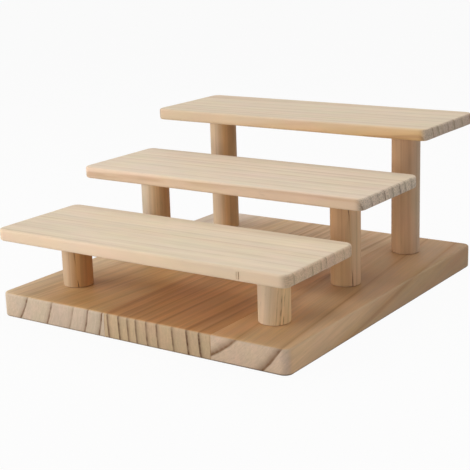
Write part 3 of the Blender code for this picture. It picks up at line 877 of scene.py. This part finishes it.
def fluted_pins_tree():
    """Dowel pins with glue flutes along them and chamfered ends."""
    tree, size, node = shaping_tree("fluted_pins", {
        "Lower Ends": GEOMETRY, "Length": FLOAT, "Radius": FLOAT, "Flutes": WHOLE, "Flute Depth": FLOAT,
        "Chamfer": FLOAT, "Material": MATERIAL})
    sheet, across, row = unit_sheet(node, PIN_SIDES + 1, PIN_ROWS)
    _, height, from_end, off_pole = rod_rows(node, row, PIN_ROWS, size["Length"])
    angle = node(MATH, (across, 2 * math.pi), "MULTIPLY")
    wave = node(MATH, (angle, size["Flutes"]), "MULTIPLY")
    wave = node(MATH, (wave,), "COSINE")
    wave = node(MATH, (wave, -0.5, 0.5), "MULTIPLY_ADD")
    flute = node(MATH, (wave, size["Flute Depth"]), "MULTIPLY")
    chamfer = node(MATH, (size["Chamfer"], from_end), "SUBTRACT")
    chamfer = node(MATH, (chamfer, flute), "MAXIMUM")
    radius = node(MATH, (size["Radius"], chamfer), "SUBTRACT")
    radius = node(MATH, (radius, off_pole), "MULTIPLY")
    pin = crisp(node, wrapped(node, sheet, angle, radius, height))
    end_tree(node, at_points(node, size["Lower Ends"], pin), size["Material"])
    return tree


# Beech: an even pinkish tan, with short darker flecks along the grain and a dry, sawn surface.
BEECH_TAN, BEECH_FLECK = "#D6B38C", "#A67C54"
BEECH_GRAIN_SIZE = (0.0008, 0.0008, 0.004)
BEECH_FLECK_STRETCH = (0.5, 0.7)
BEECH_ROUGHNESS = (0.6, 0.75)
BEECH_BUMP = 0.2
BEECH_RELIEF = 0.0002
beech, node = blank_material("beech_dowel_pins")
place = node("ShaderNodeTexCoord").outputs["Object"]
grain = node(VECTOR_MATH, (place, BEECH_GRAIN_SIZE), "DIVIDE")
grain = node(NOISE, {"Vector": grain, "Scale": 1.0, "Detail": 3.0})
fleck = node(RANGE, (grain, *BEECH_FLECK_STRETCH))
tan = node(MIX, {0: fleck, 6: linear(BEECH_TAN), 7: linear(BEECH_FLECK)}, data_type="RGBA").outputs[2]
dryness = node(RANGE, (grain, 0.0, 1.0, *BEECH_ROUGHNESS))
bump = node("ShaderNodeBump", {"Height": grain, "Strength": BEECH_BUMP, "Distance": BEECH_RELIEF})
wood = node("ShaderNodeBsdfPrincipled", {"Base Color": tan, "Roughness": dryness, "Normal": bump})
node("ShaderNodeOutputMaterial", {"Surface": wood})

_, length, radius = round_solid(PINS[-1])
pins = shaped("dowel_pins", fluted_pins_tree(), {
    "Length": length, "Radius": radius, "Flutes": PIN_FLUTES, "Flute Depth": PIN_FLUTE_DEPTH,
    "Chamfer": PIN_CHAMFER, "Material": beech}, [round_solid(pin)[0] for pin in PINS])
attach(pins, "root")
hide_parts(*PINS)

# The shelves: three single pine boards, the grain running along them, with rounded corners and eased rims.
# Each lies on two posts, with a blind hole over each for its pin. The front one has two nicks in its edge.
SHELF_CORNER_RADIUS = 0.0075
SHELF_EDGE_RADIUS = 0.0022
PIN_BORE_IN_SHELF = 0.0078
NICK_WIDTH = 0.0008
NICK_HEIGHT = 0.006
NICK_TURN = math.radians(45.0)
NICK_LOWEST = 0.001
NICK_PLACES = ((0.105, -0.0003, 0.005), (0.1071, 0.0, 0.005))
SHELF_PINE = dict(
    BARE_PINE, summer="#A9825B", end_spring="#D5B99A", end_summer="#8A6C52", face_share=0.25,
    flat_share=0.75, line=1.8, reach=6.0, face_year=crisp_year(0.45), end_year=crisp_year(0.45), sway=1.2,
    faintest=0.4, breaks=0.5, year_tone=0.02, fibre=0.02, streaks=0.14, mottle=0.015, flecks=0.1,
    speckle=0.12, edge_tint="#FFF4EE", upper_rim_wear_and_shade=(0.12, "#EFD9BF"))


def shelf_board_tree():
    """An eased board with a blind pin hole at each point on its underside, and a nick at each one above."""
    tree, size, node = shaping_tree("shelf_board", {
        "Pin Axes And Nicks": GEOMETRY, **BOARD_SIZES, "Material": MATERIAL})
    board = node("GeometryNodeGroup", {label: size[label] for label in BOARD_SIZES}, node_tree=EASED_BOARD)
    place = node("ShaderNodeSeparateXYZ", (node("GeometryNodeInputPosition"),)).outputs
    underside = node("ShaderNodeSeparateXYZ", (size["Place"],)).outputs
    raised = node(MATH, (place["Z"], underside["Z"]), "SUBTRACT")
    nicked = node(MATH, (raised, NICK_LOWEST), "GREATER_THAN")
    pinned = node(MATH, (raised, NICK_LOWEST), "LESS_THAN")
    bore = node(CYLINDER, {
        "Vertices": ROUND_SIDES, "Radius": PIN_BORE_RADIUS, "Depth": 2 * PIN_BORE_IN_SHELF})
    nick = node("GeometryNodeMeshCube", {"Size": (NICK_WIDTH, NICK_WIDTH, NICK_HEIGHT)})
    nick = node(TRANSFORM, {"Geometry": nick, "Rotation": (0.0, 0.0, NICK_TURN)})
    cutters = [at_points(node, size["Pin Axes And Nicks"], cutter, chosen)
               for chosen, cutter in ((pinned, bore), (nicked, nick))]
    board = node(BOOLEAN, {"Mesh 1": board, "Mesh 2": cutters}, "DIFFERENCE", solver="MANIFOLD")
    end_tree(node, board, size["Material"])
    return tree


SHELF_BOARD = shelf_board_tree()
SHELVES = {
    "front_shelf": dict(
        turn=(0.0, 0.0, -88.8), pith=(0.0, -330.0, 40.0), seed=21.0, easing=0.2,
        rings=(150, 172, 187, 199, 211.5, 219.5, 232, 247.5, 258.5, 275),
        look=dict(spring=((150, "#E4D2B7"),), end_spring="#DABA98", end_summer="#94775E", breaks=0.7,
                  speckle=0.25, painted_light_along=(-40.0, -150.0, "#F7F6F7")), nicks=NICK_PLACES),
    "middle_shelf": dict(
        turn=(0.0, 0.0, -89.5), pith=(0.0, -260.0, 20.0), seed=25.0, easing=0.2,
        rings=(200, 213, 227, 241, 252, 263, 276.5, 289, 298.5, 310, 325),
        look=dict(spring=((200, "#E0CEB6"),), end_spring="#DCC6AC", end_summer="#664C3A", speckle=0.45)),
    "rear_shelf": dict(
        turn=(0.0, 0.0, -87.6), pith=(0.0, -120.0, 60.0), seed=29.0, easing=0.4,
        rings=(170, 188, 199, 214, 224, 232, 243, 256, 272, 290),
        look=dict(spring=((199, "#D9BA88"), (206, "#D8C6AC")), end_spring="#CBB49C", speckle=0.35,
                  edge_tint="#FDF2EA")),
}
for name, shelf in SHELVES.items():
    low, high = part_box(name)
    tier = name.replace("_shelf", "")
    starts = [(foot.x, foot.y, low.z) for foot, post in zip(post_feet, POSTS) if post.startswith(tier)]
    starts += [(x, low.y + out, low.z + up) for x, out, up in shelf.get("nicks", ())]
    pine = solid_pine(f"sanded_pine_{name}", shelf, {**SHELF_PINE, **shelf["look"]}, shelf["seed"])
    sizes = board_sizes(low, high, SHELF_CORNER_RADIUS, SHELF_EDGE_RADIUS, shelf["easing"], shelf["seed"])
    board = shaped(f"{name}_board", SHELF_BOARD, {**sizes, "Material": pine}, starts)
    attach(board, "root")
    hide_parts(name)
